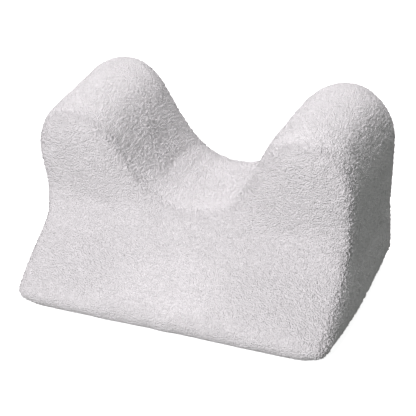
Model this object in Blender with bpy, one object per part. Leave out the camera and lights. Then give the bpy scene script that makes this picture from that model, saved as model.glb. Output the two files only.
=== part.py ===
"""Bolster pillow: a saddle-shaped head and neck cradle for a massage table.

A contour-cut foam core stands in an inner liner and a zipped terry cover. Seen from the front it is
a U: a saddle for the head between two round-topped lobes. Seen from the end it is a boot: a flared
apron runs up from a round nose to the upright front of the lobes, and the back is nearly upright.

Metres. X runs along the pillow, +Y is its back, +Z is up. The origin is on the floor, at the centre
of the pillow's footprint.
"""

import math

import bmesh
import bpy
from mathutils import Matrix, Vector
from mathutils.geometry import interpolate_bezier

# ---- the U seen from the front: half of it, +X side ------------------------------------------
FLOOR_HALF_WIDTH = 0.164
SHOULDER = Vector((0.1715, 0.129))   # where the end face starts to round over into the lobe
CREST = Vector((0.1210, 0.1904))     # top of the lobe
WALL = Vector((0.0746, 0.1635))      # a point on the saddle's wall
WALL_SLOPE = 1.79                    # rise over run of the saddle's wall there
SADDLE_HEIGHT = 0.098
CREST_RISE = 0.070                   # the crests climb this much a metre towards the back
SADDLE_FALL = 0.035                  # and the saddle's floor drops this much
LEVEL_Y = -0.025                     # where the two heights above are measured

# ---- the boot seen from the end --------------------------------------------------------------
NOSE = (-0.1448, 0.0)                # corner that the apron and the floor would meet in
NOSE_RADIUS = 0.0138
WAIST = (-0.0354, 0.0745)            # where the apron turns up into the lobes' front
WAIST_RADIUS = 0.026
LOBE_FRONT = (-0.0436, 0.1557)
BACK_UPPER = (0.0987, 0.1632)
BACK_LOWER = (0.1066, 0.0657)
HEEL = (0.1161, 0.0)
HEEL_RADIUS = 0.018
PROFILE_TOP = 0.24                   # above every crest
FRONT_TOP_Y = -0.0533
BACK_TOP_Y = 0.0987

# ---- layers, from the outside in -------------------------------------------------------------
GAP = 0.0003                         # between neighbours that touch
TERRY = 0.0034                       # cover cloth with its loops
LINER = 0.0008
LINER_DEPTH = TERRY + 0.0012         # leaves room for the zip tapes between cover and liner
CORE_DEPTH = LINER_DEPTH + LINER + GAP
RIM_ROUND = 0.0080                   # rounding of the rims and of the end faces' upright edges
SEAM_DEPTH = 0.0052                  # how far a seam lies behind the face it borders
FLOOR_HEM = 0.0020                   # how far the front and back panels run onto the floor
SEAM_CHANNEL = 0.0014                # the groove between two panels that the thread lies in
THREAD_DIAMETER = 0.0009
THREAD_DEPTH = 0.0020                # of a rim's thread under the cover's face
FRONT_THREAD_FOOT = 0.018            # lowest point of the front rim's thread
BACK_THREAD_FOOT = 0.024
HEM_THREAD_STOP = 0.004              # a hem's thread stops this far before the corner
REACH = 0.32                         # a shape this long passes the pillow in any direction
CUTTER_REACH = 0.02                  # of a cutter on the back, into the pillow and out of it

# ---- the zip in the back panel; its x runs to the left end, its y up the face -------------------
ZIP_HEIGHT = 0.046                   # of its line above the floor
TOOTH_PITCH = 0.003
TOOTH_COUNT = 80
TOOTH_REACH = 0.00055                # of a tooth past the zip's line
ROW_GAP = 0.0008
ROW_HEIGHT = 0.0026
TEETH_THICKNESS = 0.0016
TEETH_HALF_LENGTH = TOOTH_PITCH * TOOTH_COUNT / 2
TAPE_THICKNESS = 0.0006
TAPE_EDGE = 0.0014                   # from the zip's line to the tape
TAPE_WIDTH = 0.0100
TAPE_HALF_LENGTH = TEETH_HALF_LENGTH + 0.0100
SLOT_HALF_HEIGHT = 0.0056            # of the slot in the cover
SLOT_HALF_LENGTH = TEETH_HALF_LENGTH + 0.0070
SLIDER_LENGTH = 0.0098
SLIDER_HALF_HEIGHT = 0.0042
SLIDER_PLATE = 0.0010
SLIDER_FLANGE = 0.0009
SLIDER_NOSE = 0.0030                 # the length over which its wide end narrows again
POST_LENGTH = 0.0016
POST_INSET = 0.0006                  # of the post that parts the rows, from the slider's wide end
FLANGE_SPAN = (-0.0046, 0.0010)      # of the flanges along the zip, from the slider's middle
SLIDER_REST = TEETH_HALF_LENGTH - 0.0024
POST_HALF_HEIGHT = 0.0009
STOP_LENGTH = 0.0020
BAIL_HEIGHT = 0.0026                 # of the opening that the pull's bar turns in
BAIL_BAR = 0.0010
PULL_LENGTH = 0.0260
PULL_WIDTH = 0.0074
PULL_THICKNESS = 0.0012
PULL_CORNER = 0.0020                 # the rounded tip's length
PULL_WINDOW = 0.0062                 # the window's far end, from the hinge
STITCH_DIAMETER = 0.0005
STITCH_LINE = SLOT_HALF_HEIGHT + 0.0024
LABEL_SIZE = (0.030, 0.020)
LABEL_THICKNESS = 0.0004
LABEL_HEIGHT = 0.100                 # of its middle above the floor

# ---- levels at the zip, outwards from the back panel's face --------------------------------------
TAPE_OUT = -(TERRY + GAP)
TAPE_IN = TAPE_OUT - TAPE_THICKNESS
TEETH_IN = TAPE_OUT + GAP
TEETH_OUT = TEETH_IN + TEETH_THICKNESS
TOP_PLATE_IN = TEETH_OUT + GAP
TOP_PLATE_OUT = TOP_PLATE_IN + SLIDER_PLATE
LOW_PLATE_OUT = TAPE_IN - GAP
LOW_PLATE_IN = LOW_PLATE_OUT - SLIDER_PLATE
PIVOT_LEVEL = TOP_PLATE_OUT + BAIL_HEIGHT / 2


# ---- outlines --------------------------------------------------------------------------------
def rounded(corners, steps):
    """Open path through (x, y) or (x, y, radius) corners, those with a radius turned into arcs."""
    path = [Vector(corners[0][:2])]
    for before, here, after in zip(corners, corners[1:], corners[2:]):
        corner = Vector(here[:2])
        if len(here) == 2:
            path.append(corner)
            continue
        back = (Vector(before[:2]) - corner).normalized()
        ahead = (Vector(after[:2]) - corner).normalized()
        half = back.angle(ahead) / 2
        centre = corner + (back + ahead).normalized() * here[2] / math.sin(half)
        start = corner + back * here[2] / math.tan(half) - centre
        turn = math.copysign(math.pi - 2 * half, start.y * back.x - start.x * back.y)
        for step in range(steps + 1):
            path.append(centre + Matrix.Rotation(turn * step / steps, 2) @ start)
    path.append(Vector(corners[-1][:2]))
    return path


def inset(path, depth):
    """Move an open path to its right-hand side by depth, corners mitred."""
    moved = []
    for index, point in enumerate(path):
        back = path[index] - path[index - 1] if index else path[1] - path[0]
        ahead = path[index + 1] - path[index] if index < len(path) - 1 else back
        back = Vector((back.y, -back.x)).normalized()
        ahead = Vector((ahead.y, -ahead.x)).normalized()
        middle = (back + ahead).normalized()
        moved.append(point + middle * depth / middle.dot(back))
    return moved


def band(path, near, far):
    """Closed outline of the strip between two depths under a path."""
    return inset(path, near) + inset(path, far)[::-1]


def saddle_path():
    """The U from the left end's foot, over both lobes, to the right end's foot, as (x, z)."""
    foot = Vector((FLOOR_HALF_WIDTH, 0.0))
    below = foot + (foot - SHOULDER).normalized() * 0.03
    saddle = Vector((0.0, SADDLE_HEIGHT))
    wall_way = Vector((1.0, WALL_SLOPE)).normalized()
    low = (WALL - saddle).length
    high = (CREST - WALL).length
    over = SHOULDER.x - CREST.x
    drop = CREST.y - SHOULDER.y
    up_the_end = (SHOULDER - foot).normalized()
    spans = (
        (saddle, saddle + Vector((low * 0.5, 0)), WALL - wall_way * low * 0.35, WALL, 8),
        (WALL, WALL + wall_way * high * 0.4, CREST - Vector((high * 0.35, 0)), CREST, 6),
        (CREST, CREST + Vector((over * 0.6, 0)), SHOULDER + up_the_end * drop * 0.55, SHOULDER, 9),
    )
    half = []
    for start, handle_a, handle_b, end, count in spans:
        half += [Vector(p[:2]) for p in interpolate_bezier(start, handle_a, handle_b, end, count)][:-1]
    half += [SHOULDER, below]
    mirrored = [Vector((-p.x, p.y)) for p in half[:0:-1]]
    return mirrored + half


def front_path():
    """The boot's front, from the floor seam behind the nose up past the lobes, as (y, z)."""
    corners = ((0.0, 0.0), NOSE + (NOSE_RADIUS,), WAIST + (WAIST_RADIUS,), LOBE_FRONT,
               (FRONT_TOP_Y, PROFILE_TOP))
    path = rounded(corners, 4)
    path[0].x = path[1].x + FLOOR_HEM
    return path


def back_path():
    """The boot's back, from above the lobes down round the heel to the floor seam, as (y, z)."""
    corners = ((BACK_TOP_Y, PROFILE_TOP), BACK_UPPER, BACK_LOWER, HEEL + (HEEL_RADIUS,), (0.0, 0.0))
    path = rounded(corners, 3)
    path[-1].x = path[-2].x - FLOOR_HEM
    return path


def boot_outline(depth):
    """The boot's closed outline, moved in by depth."""
    return inset(front_path(), depth) + inset(back_path(), depth)


def lift(x, y):
    """How much higher the U stands at this place than its section at LEVEL_Y."""
    near_crest = min(abs(x) / CREST.x, 1.0)
    near_crest = near_crest * near_crest * (3 - 2 * near_crest)
    return (CREST_RISE * near_crest - SADDLE_FALL * (1 - near_crest)) * (y - LEVEL_Y)


# ---- scene, materials and solids -------------------------------------------------------------
def clear_scene():
    for thing in list(bpy.data.objects):
        bpy.data.objects.remove(thing, do_unlink=True)


def make_collection(name):
    collection = bpy.data.collections.new(name)
    bpy.context.scene.collection.children.link(collection)
    return collection


def make_material(name, colour, roughness, metallic=0.0):
    material = bpy.data.materials.new(name)
    material.use_nodes = True
    shader = material.node_tree.nodes["Principled BSDF"]
    shader.inputs["Base Color"].default_value = (*colour, 1.0)
    shader.inputs["Roughness"].default_value = roughness
    shader.inputs["Metallic"].default_value = metallic
    return material


def add_object(name, mesh, collection, material=None):
    thing = bpy.data.objects.new(name, mesh)
    collection.objects.link(thing)
    if material:
        mesh.materials.append(material)
    return thing


def make_cutter(name, mesh):
    cutter = add_object(name, mesh, cutters)
    cutter.hide_render = True
    cutter.display_type = "WIRE"
    return cutter


def frozen(thing, face_out=False):
    """A plain mesh of an object as it stands in the world, welded, and faced outwards if asked."""
    bpy.context.view_layer.update()
    graph = bpy.context.evaluated_depsgraph_get()
    mesh = bpy.data.meshes.new_from_object(thing.evaluated_get(graph))
    mesh.transform(thing.matrix_world)
    mesh.materials.clear()
    work = bmesh.new()
    work.from_mesh(mesh)
    bmesh.ops.remove_doubles(work, verts=work.verts, dist=1e-6)
    if face_out:
        bmesh.ops.recalc_face_normals(work, faces=work.faces)
    work.to_mesh(mesh)
    work.free()
    bpy.data.objects.remove(thing, do_unlink=True)
    return mesh


def prism(outline, half_length, axes):
    """A closed outline filled and pushed half_length both ways, its plane and way given by axes."""
    curve = bpy.data.curves.new("outline", "CURVE")
    curve.dimensions = "2D"
    curve.fill_mode = "BOTH"
    curve.extrude = half_length
    spline = curve.splines.new("POLY")
    spline.points.add(len(outline) - 1)
    for point, place in zip(spline.points, outline):
        point.co = (place[0], place[1], 0.0, 1.0)
    spline.use_cyclic_u = True
    thing = add_object("outline", curve, cutters)
    thing.matrix_world = axes
    return frozen(thing, face_out=True)


def frame_of(across, up, way, origin=(0, 0, 0)):
    """World matrix that takes a flat outline's x, y and push to these directions."""
    matrix = Matrix((across, up, way)).transposed().to_4x4()
    matrix.translation = origin
    return matrix


FRONT_VIEW = frame_of((1, 0, 0), (0, 0, 1), (0, -1, 0))
END_VIEW = frame_of((0, 1, 0), (0, 0, 1), (1, 0, 0))


def saddle_prism(depth):
    """The U pushed through the pillow, its crests climbing and its saddle falling to the back."""
    mesh = prism(inset(saddle_path(), depth), REACH / 2, FRONT_VIEW)
    work = bmesh.new()
    work.from_mesh(mesh)
    for vert in work.verts:
        if vert.co.z > SHOULDER.y / 2:
            vert.co.z += lift(vert.co.x, vert.co.y)
    bmesh.ops.triangulate(work, faces=work.faces)
    work.to_mesh(mesh)
    work.free()
    return mesh


def boot_prism(outline):
    return prism(outline, REACH, END_VIEW)


def cut(thing, operation, cutter):
    boolean = thing.modifiers.new(operation.lower(), "BOOLEAN")
    boolean.operation = operation
    boolean.solver = "EXACT"
    boolean.object = cutter
    return thing


def on_rim(edge):
    """True for an edge where the U's top or an end face meets the front or the back."""
    low = min(vert.co.z for vert in edge.verts)
    high = max(vert.co.z for vert in edge.verts)
    along_floor = high - low < 1e-4 and low < 2 * CORE_DEPTH
    return edge.calc_face_angle(0) > math.radians(48) and not along_floor


def form(depth):
    """The pillow's whole form moved in by depth, with its rims rounded."""
    body = add_object("form", boot_prism(boot_outline(depth)), cutters)
    cutter = make_cutter("form_cutter", saddle_prism(depth))
    mesh = frozen(cut(body, "INTERSECT", cutter))
    bpy.data.objects.remove(cutter, do_unlink=True)
    work = bmesh.new()
    work.from_mesh(mesh)
    bmesh.ops.dissolve_limit(work, angle_limit=math.radians(1.2), verts=work.verts, edges=work.edges)
    everything = work.verts[:] + work.edges[:] + work.faces[:]
    bmesh.ops.bisect_plane(work, geom=everything, plane_co=(0, 0, 0), plane_no=(1, 0, 0), dist=0.0005)
    rims = [edge for edge in work.edges if on_rim(edge)]
    bmesh.ops.bevel(work, geom=rims, offset=RIM_ROUND - depth, segments=2, affect="EDGES", profile=0.5)
    bmesh.ops.triangulate(work, faces=work.faces)
    work.to_mesh(mesh)
    work.free()
    return mesh


def skin(outer_depth, inner_depth):
    """The layer between two forms, as a mesh with a closed hollow that later cuts open."""
    body = add_object("skin", form(outer_depth), cutters)
    hollow = make_cutter("skin_hollow", form(inner_depth))
    mesh = frozen(cut(body, "DIFFERENCE", hollow))
    bpy.data.objects.remove(hollow, do_unlink=True)
    return mesh


def smooth(thing, degrees=30):
    thing.data.shade_smooth()
    thing.data.set_sharp_from_angle(angle=math.radians(degrees))
    return thing


def tube(name, places, diameter, material):
    """A thread along a list of places, its ends capped."""
    curve = bpy.data.curves.new(name, "CURVE")
    curve.dimensions = "3D"
    curve.bevel_depth = diameter / 2
    curve.bevel_resolution = 1
    curve.use_fill_caps = True
    spline = curve.splines.new("POLY")
    spline.points.add(len(places) - 1)
    for point, place in zip(spline.points, places):
        point.co = (*place, 1.0)
    return add_object(name, curve, pillow, material)


# ---- frames and flat pieces on the back ------------------------------------------------------
def back_frame(low, high, height):
    """Frame on the back between two of its corners: x to the left end, y up the face, z outwards."""
    low = Vector((0.0, *low))
    high = Vector((0.0, *high))
    up = (high - low).normalized()
    outward = Vector((-1, 0, 0)).cross(up)
    origin = low + (high - low) * (height - low.z) / (high.z - low.z)
    return frame_of((-1, 0, 0), up, outward, origin)


def rectangle(left, right, bottom, top):
    return [(left, bottom), (right, bottom), (right, top), (left, top)]


def plate(outline, low, high, frame):
    """A flat outline on the back, between two levels over the face."""
    return prism(outline, (high - low) / 2, frame @ Matrix.Translation((0, 0, (low + high) / 2)))


def cover_panel(name, shell, region, material):
    """The part of the cover's shell that lies in one region of the boot."""
    cutter = make_cutter(name + "_region", boot_prism(region))
    return cut(add_object(name, shell.copy(), pillow, material), "INTERSECT", cutter)


def rim_places(path, lowest):
    """The seam along one rim, over both lobes, from low on one end face to low on the other."""
    places = []
    for x, z in inset(saddle_path(), THREAD_DEPTH):
        y = across_path(path, z)
        place = Vector((x, y, z + (lift(x, y) if z > SHOULDER.y / 2 else 0.0)))
        place.y = across_path(path, place.z)
        if place.z > lowest:
            places.append(place)
    foot_x = FLOOR_HALF_WIDTH - THREAD_DEPTH + (SHOULDER.x - FLOOR_HALF_WIDTH) * lowest / SHOULDER.y
    start = Vector((-foot_x, across_path(path, lowest), lowest))
    end = Vector((foot_x, start.y, lowest))
    return followed([start] + places + [end], path)


def followed(places, path):
    """The places, with one more wherever the run between two of them passes a corner of the path."""
    full = [places[0]]
    for before, after in zip(places, places[1:]):
        low, high = sorted((before.z, after.z))
        corners = sorted((corner.y for corner in path if low < corner.y < high), reverse=before.z > after.z)
        for height in corners:
            place = before.lerp(after, (height - before.z) / (after.z - before.z))
            place.y = across_path(path, height)
            full.append(place)
        full.append(after)
    return full


def across_path(path, height):
    """Where a path that climbs or drops all the way passes a height."""
    climbing = path if path[0].y < path[-1].y else path[::-1]
    for before, after in zip(climbing, climbing[1:]):
        if before.y <= height <= after.y:
            return before.x + (after.x - before.x) * (height - before.y) / (after.y - before.y)
    return climbing[-1].x


# ---- sub-parts -------------------------------------------------------------------------------
def build_core():
    core = add_object("foam_core", form(CORE_DEPTH), pillow, foam)
    half = TAPE_HALF_LENGTH
    outline = rectangle(-half, half, -SLOT_HALF_HEIGHT, SLOT_HALF_HEIGHT)
    channel = make_cutter("core_channel", plate(outline, LOW_PLATE_IN - 2 * GAP, CUTTER_REACH, zip_frame))
    smooth(cut(core, "DIFFERENCE", channel))


def build_liner():
    liner = add_object("inner_liner", skin(LINER_DEPTH, LINER_DEPTH + LINER), pillow, jersey)
    half = TAPE_HALF_LENGTH
    outline = rectangle(-half, half, -SLOT_HALF_HEIGHT - GAP, SLOT_HALF_HEIGHT + GAP)
    opening = make_cutter("liner_opening", plate(outline, -CUTTER_REACH, CUTTER_REACH, zip_frame))
    smooth(cut(liner, "DIFFERENCE", opening))


def build_cover():
    shell = skin(0.0, TERRY)
    front = front_path()
    back = back_path()
    outside = -CUTTER_REACH
    floor = rectangle(front[0].x + SEAM_CHANNEL, back[-1].x - SEAM_CHANNEL, outside, SEAM_DEPTH)
    smooth(cover_panel("cover_front_panel", shell, band(front, outside, SEAM_DEPTH), terry))
    smooth(cover_panel("cover_top_strip", shell, boot_outline(SEAM_DEPTH + SEAM_CHANNEL), terry))
    smooth(cover_panel("cover_bottom_panel", shell, floor, base_cloth))
    slot = rectangle(-SLOT_HALF_LENGTH, SLOT_HALF_LENGTH, -SLOT_HALF_HEIGHT, SLOT_HALF_HEIGHT)
    slot_cutter = make_cutter("zip_slot", plate(slot, -CUTTER_REACH, CUTTER_REACH, zip_frame))
    for name, bottom, top in (("lower", -REACH, -GAP / 2), ("upper", GAP / 2, REACH)):
        panel = cover_panel(f"cover_back_{name}", shell, band(back, outside, SEAM_DEPTH), terry)
        half = plate(rectangle(-REACH, REACH, bottom, top), -REACH / 4, CUTTER_REACH, zip_frame)
        cut(panel, "INTERSECT", make_cutter(f"back_half_{name}", half))
        smooth(cut(panel, "DIFFERENCE", slot_cutter))


def build_seams():
    middle = SEAM_DEPTH + SEAM_CHANNEL / 2
    rims = (("front", front_path(), FRONT_THREAD_FOOT), ("back", back_path(), BACK_THREAD_FOOT))
    for name, path, lowest in rims:
        places = rim_places(inset(path, middle), lowest)
        tube(f"{name}_seam_thread", places, THREAD_DIAMETER, thread)
    front_y = front_path()[0].x + SEAM_CHANNEL / 2
    back_y = back_path()[-1].x - SEAM_CHANNEL / 2
    end_x = FLOOR_HALF_WIDTH - THREAD_DEPTH
    for name, x in (("left", -end_x), ("right", end_x)):
        ends = [(x, front_y + HEM_THREAD_STOP, middle), (x, back_y - HEM_THREAD_STOP, middle)]
        tube(f"hem_thread_{name}", ends, THREAD_DIAMETER, thread)
    for name, y in (("front", front_y), ("back", back_y)):
        ends = [(-end_x + HEM_THREAD_STOP, y, TERRY / 2), (end_x - HEM_THREAD_STOP, y, TERRY / 2)]
        tube(f"hem_thread_{name}", ends, THREAD_DIAMETER, thread)


def tooth_line(side):
    """The toothed edge of one row, one trapezoid tooth a pitch, offset from its twin by ROW_GAP."""
    line = []
    for tooth in range(TOOTH_COUNT):
        start = -TEETH_HALF_LENGTH + tooth * TOOTH_PITCH
        for part, height in ((0.0, 1), (0.35, 1), (0.5, -1), (0.85, -1)):
            line.append((start + part * TOOTH_PITCH, height * TOOTH_REACH + side * ROW_GAP / 2))
    return line


def build_zip():
    half = TEETH_HALF_LENGTH
    for name, side in (("lower", -1), ("upper", 1)):
        edge = side * TAPE_EDGE
        far = side * (TAPE_EDGE + TAPE_WIDTH)
        tape = rectangle(-TAPE_HALF_LENGTH, TAPE_HALF_LENGTH, min(edge, far), max(edge, far))
        add_object(f"zip_tape_{name}", plate(tape, TAPE_IN, TAPE_OUT, zip_frame), pillow, tape_cloth)
        line = tooth_line(side)
        row = line + [(line[-1][0], side * ROW_HEIGHT), (line[0][0], side * ROW_HEIGHT)]
        add_object(f"zip_teeth_{name}", plate(row, TEETH_IN, TEETH_OUT, zip_frame), pillow, teeth_plastic)
        near = side * ROW_GAP / 2
        high = side * ROW_HEIGHT
        start = SLIDER_REST + SLIDER_LENGTH / 2 + GAP
        stop = rectangle(start, start + STOP_LENGTH, min(near, high), max(near, high))
        add_object(f"zip_top_stop_{name}", plate(stop, TEETH_IN, TEETH_OUT, zip_frame), pillow, zip_metal)
        stitches = [zip_frame @ Vector((x, side * STITCH_LINE, STITCH_DIAMETER / 2 + GAP))
                    for x in (-SLOT_HALF_LENGTH, SLOT_HALF_LENGTH)]
        tube(f"zip_stitch_{name}", stitches, STITCH_DIAMETER, thread)
    stop = rectangle(-half - STOP_LENGTH - GAP, -half - GAP, -ROW_HEIGHT, ROW_HEIGHT)
    add_object("zip_bottom_stop", plate(stop, TEETH_IN, TEETH_OUT, zip_frame), pillow, zip_metal)


def slider_outline():
    """A slider's plate: blunt at the end that closes the zip, wider where it parts the rows."""
    back = SLIDER_REST - SLIDER_LENGTH / 2
    front = SLIDER_REST + SLIDER_LENGTH / 2
    tall = SLIDER_HALF_HEIGHT
    widest = front - SLIDER_NOSE
    return [(back, -0.94 * tall), (widest, -tall), (front, -0.6 * tall),
            (front, 0.6 * tall), (widest, tall), (back, 0.94 * tall)]


def build_slider():
    front = SLIDER_REST + SLIDER_LENGTH / 2
    top_plate = plate(slider_outline(), TOP_PLATE_IN, TOP_PLATE_OUT, zip_frame)
    slider = add_object("zip_slider_body", top_plate, pillow, zip_metal)
    pieces = [plate(slider_outline(), LOW_PLATE_IN, LOW_PLATE_OUT, zip_frame)]
    post_end = front - POST_INSET
    post = rectangle(post_end - POST_LENGTH, post_end, -POST_HALF_HEIGHT, POST_HALF_HEIGHT)
    pieces.append(plate(post, LOW_PLATE_IN + SLIDER_PLATE / 2, TOP_PLATE_IN + SLIDER_PLATE / 2, zip_frame))
    for side in (-1, 1):
        near = side * (ROW_HEIGHT + GAP)
        far = side * (ROW_HEIGHT + GAP + SLIDER_FLANGE)
        start, end = (SLIDER_REST + step for step in FLANGE_SPAN)
        flange = rectangle(start, end, min(near, far), max(near, far))
        pieces.append(plate(flange, TAPE_OUT + GAP, TOP_PLATE_IN + SLIDER_PLATE / 2, zip_frame))
    pieces.append(bail())
    for index, mesh in enumerate(pieces):
        cut(slider, "UNION", make_cutter(f"slider_piece_{index}", mesh))
    set_origin(slider, (SLIDER_REST, 0, 0))


def set_origin(thing, place):
    """Gives a piece its origin at a place in the zip's frame, where its joint works; it stays where it is."""
    origin = Matrix.Translation(zip_frame @ Vector(place))
    thing.data.transform(origin.inverted())
    thing.matrix_world = origin


def bail():
    """The arch on the slider that holds the pull, seen along the zip's height."""
    inner = BAIL_HEIGHT
    outer = BAIL_HEIGHT + BAIL_BAR
    sunk = SLIDER_PLATE / 2
    arch = [(-outer, -sunk), (-outer, inner * 0.6), (-inner * 0.6, outer), (inner * 0.6, outer),
            (outer, inner * 0.6), (outer, -sunk), (inner * 0.85, -sunk), (inner * 0.85, inner * 0.5),
            (inner * 0.4, inner), (-inner * 0.4, inner), (-inner * 0.85, inner * 0.5), (-inner * 0.85, -sunk)]
    side_on = frame_of((1, 0, 0), (0, 0, 1), (0, -1, 0), (SLIDER_REST, 0, TOP_PLATE_OUT))
    return prism(arch, BAIL_BAR * 0.7, zip_frame @ side_on)


def build_pull():
    """A flat tab with a window, whose end bar turns in the slider's bail; it lies back along the zip."""
    bar = PULL_THICKNESS / 2
    half = PULL_WIDTH / 2
    tip = -PULL_LENGTH
    corner = tip + PULL_CORNER
    side = [(bar, half * 0.9), (tip * 0.4, half), (corner, half * 0.8), (tip, half * 0.4)]
    outline = side + [(x, -y) for x, y in reversed(side)]
    placed = [(x + SLIDER_REST, y) for x, y in outline]
    low = PIVOT_LEVEL - PULL_THICKNESS / 2
    high = PIVOT_LEVEL + PULL_THICKNESS / 2
    pull = add_object("zip_pull_tab", plate(placed, low, high, zip_frame), pillow, zip_metal)
    window = rectangle(SLIDER_REST - PULL_WINDOW, SLIDER_REST - bar, -half * 0.55, half * 0.55)
    window_cutter = plate(window, low - PULL_THICKNESS, high + PULL_THICKNESS, zip_frame)
    cut(pull, "DIFFERENCE", make_cutter("pull_window", window_cutter))
    set_origin(pull, (SLIDER_REST, 0, PIVOT_LEVEL))


def build_label():
    frame = back_frame(BACK_LOWER, BACK_UPPER, LABEL_HEIGHT)
    wide, tall = LABEL_SIZE
    edge = -(FLOOR_HALF_WIDTH - RIM_ROUND)
    outline = rectangle(edge, edge + wide, -tall / 2, tall / 2)
    add_object("care_label", plate(outline, GAP, GAP + LABEL_THICKNESS, frame), pillow, satin)


# ---- the pillow ------------------------------------------------------------------------------
clear_scene()
pillow = make_collection("bolster_pillow")
cutters = make_collection("cutters")

terry = make_material("terry", (0.86, 0.85, 0.86), 0.95)
base_cloth = make_material("terry_base", (0.84, 0.83, 0.84), 0.95)
foam = make_material("foam", (0.90, 0.86, 0.72), 0.90)
jersey = make_material("liner_jersey", (0.88, 0.88, 0.87), 0.85)
thread = make_material("thread", (0.85, 0.85, 0.85), 0.60)
tape_cloth = make_material("zip_tape", (0.84, 0.84, 0.85), 0.80)
teeth_plastic = make_material("zip_teeth", (0.86, 0.86, 0.87), 0.40)
zip_metal = make_material("zip_metal", (0.70, 0.70, 0.72), 0.30, 1.0)
satin = make_material("label_satin", (0.90, 0.90, 0.89), 0.45)

zip_frame = back_frame(HEEL, BACK_LOWER, ZIP_HEIGHT)

build_core()
build_liner()
build_cover()
build_seams()
build_zip()
build_slider()
build_pull()
build_label()
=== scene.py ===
"""Looks of the saddle-shaped bolster pillow: a terry cover over liner and foam, with a zip at the back.

The cover is one smooth form, worked out from the pillow's two outlines, cut into the panels that the
real cover is sewn from. Each panel carries its own looped pile as real relief. Metres throughout.
"""

import itertools
import math

import bmesh
import bpy
import numpy as np
from mathutils import Matrix, Vector, kdtree


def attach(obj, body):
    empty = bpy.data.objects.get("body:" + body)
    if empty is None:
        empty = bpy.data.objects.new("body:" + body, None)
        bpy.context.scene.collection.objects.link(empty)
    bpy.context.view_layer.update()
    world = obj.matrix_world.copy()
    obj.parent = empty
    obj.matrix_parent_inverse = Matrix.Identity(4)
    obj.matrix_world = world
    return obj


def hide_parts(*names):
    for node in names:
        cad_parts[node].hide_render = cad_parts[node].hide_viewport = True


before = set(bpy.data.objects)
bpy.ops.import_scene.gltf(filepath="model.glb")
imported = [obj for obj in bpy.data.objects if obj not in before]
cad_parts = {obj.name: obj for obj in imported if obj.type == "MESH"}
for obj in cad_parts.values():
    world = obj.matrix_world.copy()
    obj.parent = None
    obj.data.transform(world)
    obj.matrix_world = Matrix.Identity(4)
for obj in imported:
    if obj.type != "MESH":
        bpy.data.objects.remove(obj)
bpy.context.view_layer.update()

# ---- the cover's form: the boot seen from the end, as (y, z, radius), or (y, z) where it is sharp
NOSE = (-0.1450, 0.0, 0.0138)
WAIST = (-0.0356, 0.0745, 0.056)
LOBE_FRONT = (-0.0438, 0.1557, 0.040)
FRONT_TOP = (-0.0604, 0.300)
BACK_TOP = (0.0987, 0.300)
BACK_UPPER = (0.0987, 0.1632, 0.040)
BACK_LOWER = (0.1066, 0.0657, 0.040)
HEEL = (0.1161, 0.0, 0.0255)
FLOOR_SEAM_FRONT = -0.098  # the bottom panel's two long seams, in Y
FLOOR_SEAM_BACK = 0.0933

# ---- and the U seen from the front, as (x, z) ---------------------------------------------------
HALF_WIDTH = 0.170
SADDLE = np.array((0.0, 0.0979))
WALL = np.array((0.0730, 0.1635))
WALL_SLOPE = 1.785         # how steeply the U climbs there
CREST = np.array((0.1174, 0.1904))
SHOULDER = np.array((HALF_WIDTH, 0.1287))
END_LEAN = 0.35            # the ends spread out by this share of the width for each metre of height
CREST_RISE = 0.070         # the crests climb towards the back
SADDLE_FALL = 0.035        # and the saddle drops
LEVEL_Y = -0.025           # but here in Y they do neither
RIM_REACH = 0.0334         # how far a rim's soft rounding reaches into the faces beside it
END_REACH = 0.0240         # the same on the end faces' edges
END_HOLLOW = 0.0088        # the end faces sink in between the lobe and the foot
FOOT_BULGE = 0.0051        # and swell just above the floor
TOE_IN = 0.0165            # and turn in towards the nose
END_DEPTH = 0.24           # all this is spread over this depth, from the nose to the back
FOOT_TOP = 0.0682          # the foot that swells and turns in reaches up to here
END_MIDDLE = 0.10          # height at which the ends lie at the half width
UNDERSIDE = 0.02           # the underside lies below this height
BACK_Y = 0.08              # the back's faces lie behind this
SLOT_TOP = 0.09            # and the zip's slot below this height

# ---- cloth ---------------------------------------------------------------------------------------
GRAIN = 0.00115  # side of the cover mesh's faces
LOOP = 0.0021              # from one loop of the pile to the next
PILE = 0.0014              # how far the loops stand up
PILE_MIDDLE = 0.55         # the part of that height which lies below the form
LOOP_SHARE = 0.4           # the part of it that goes by whole loops, and not by single tips
SWELLS = (0.0003, 0.042)   # slack cloth: how far it stands out, and from one hill to the next
RIPPLES = (0.0004, 0.014)  # the same for smaller ones
LUMPS = (0.0012, 0.016)    # for those along the nose
ROWS = (0.00022, 0.0075)   # and for level rows on the upright front
FURROW = (0.0007, 0.0009)  # depth and width of the furrow that the zip's stitches pull
SEAM_SINK = 0.0002         # how far a seam lies down in its ridge
SEAM_WIDTH = 0.0013
RIDGE = 0.0018             # height of the soft ridge along the rims' seams
END_RIDGE = 0.0008         # and of the one up the end faces
RIDGE_WIDTH = 0.006
HEM = 0.0030               # cloth turned in at each seam
LINER_DEPTH = 0.0046       # the liner's outside lies this far inside the cover's form
LINER = 0.0008             # its thickness
CORE_DEPTH = 0.0060        # the foam's face lies this far inside the cover's form
CORE_GRID = 0.005          # side of the foam's and the liner's faces

# ---- simulation of the cover ---------------------------------------------------------------------
CLOTH_GRID = 0.006         # grid of the cloth that is simulated
CLOTH_SLACK = 0.0008       # it starts this far inside the form
CLOTH_LIMIT = 0.0019       # and moves no further than this
CLOTH_PRESSURE = 4.0       # of the filling
CLOTH_MASS = 0.35          # of each point
CLOTH_STIFFNESS = 0.8      # against bending
CLOTH_STEPS = 20

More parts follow.
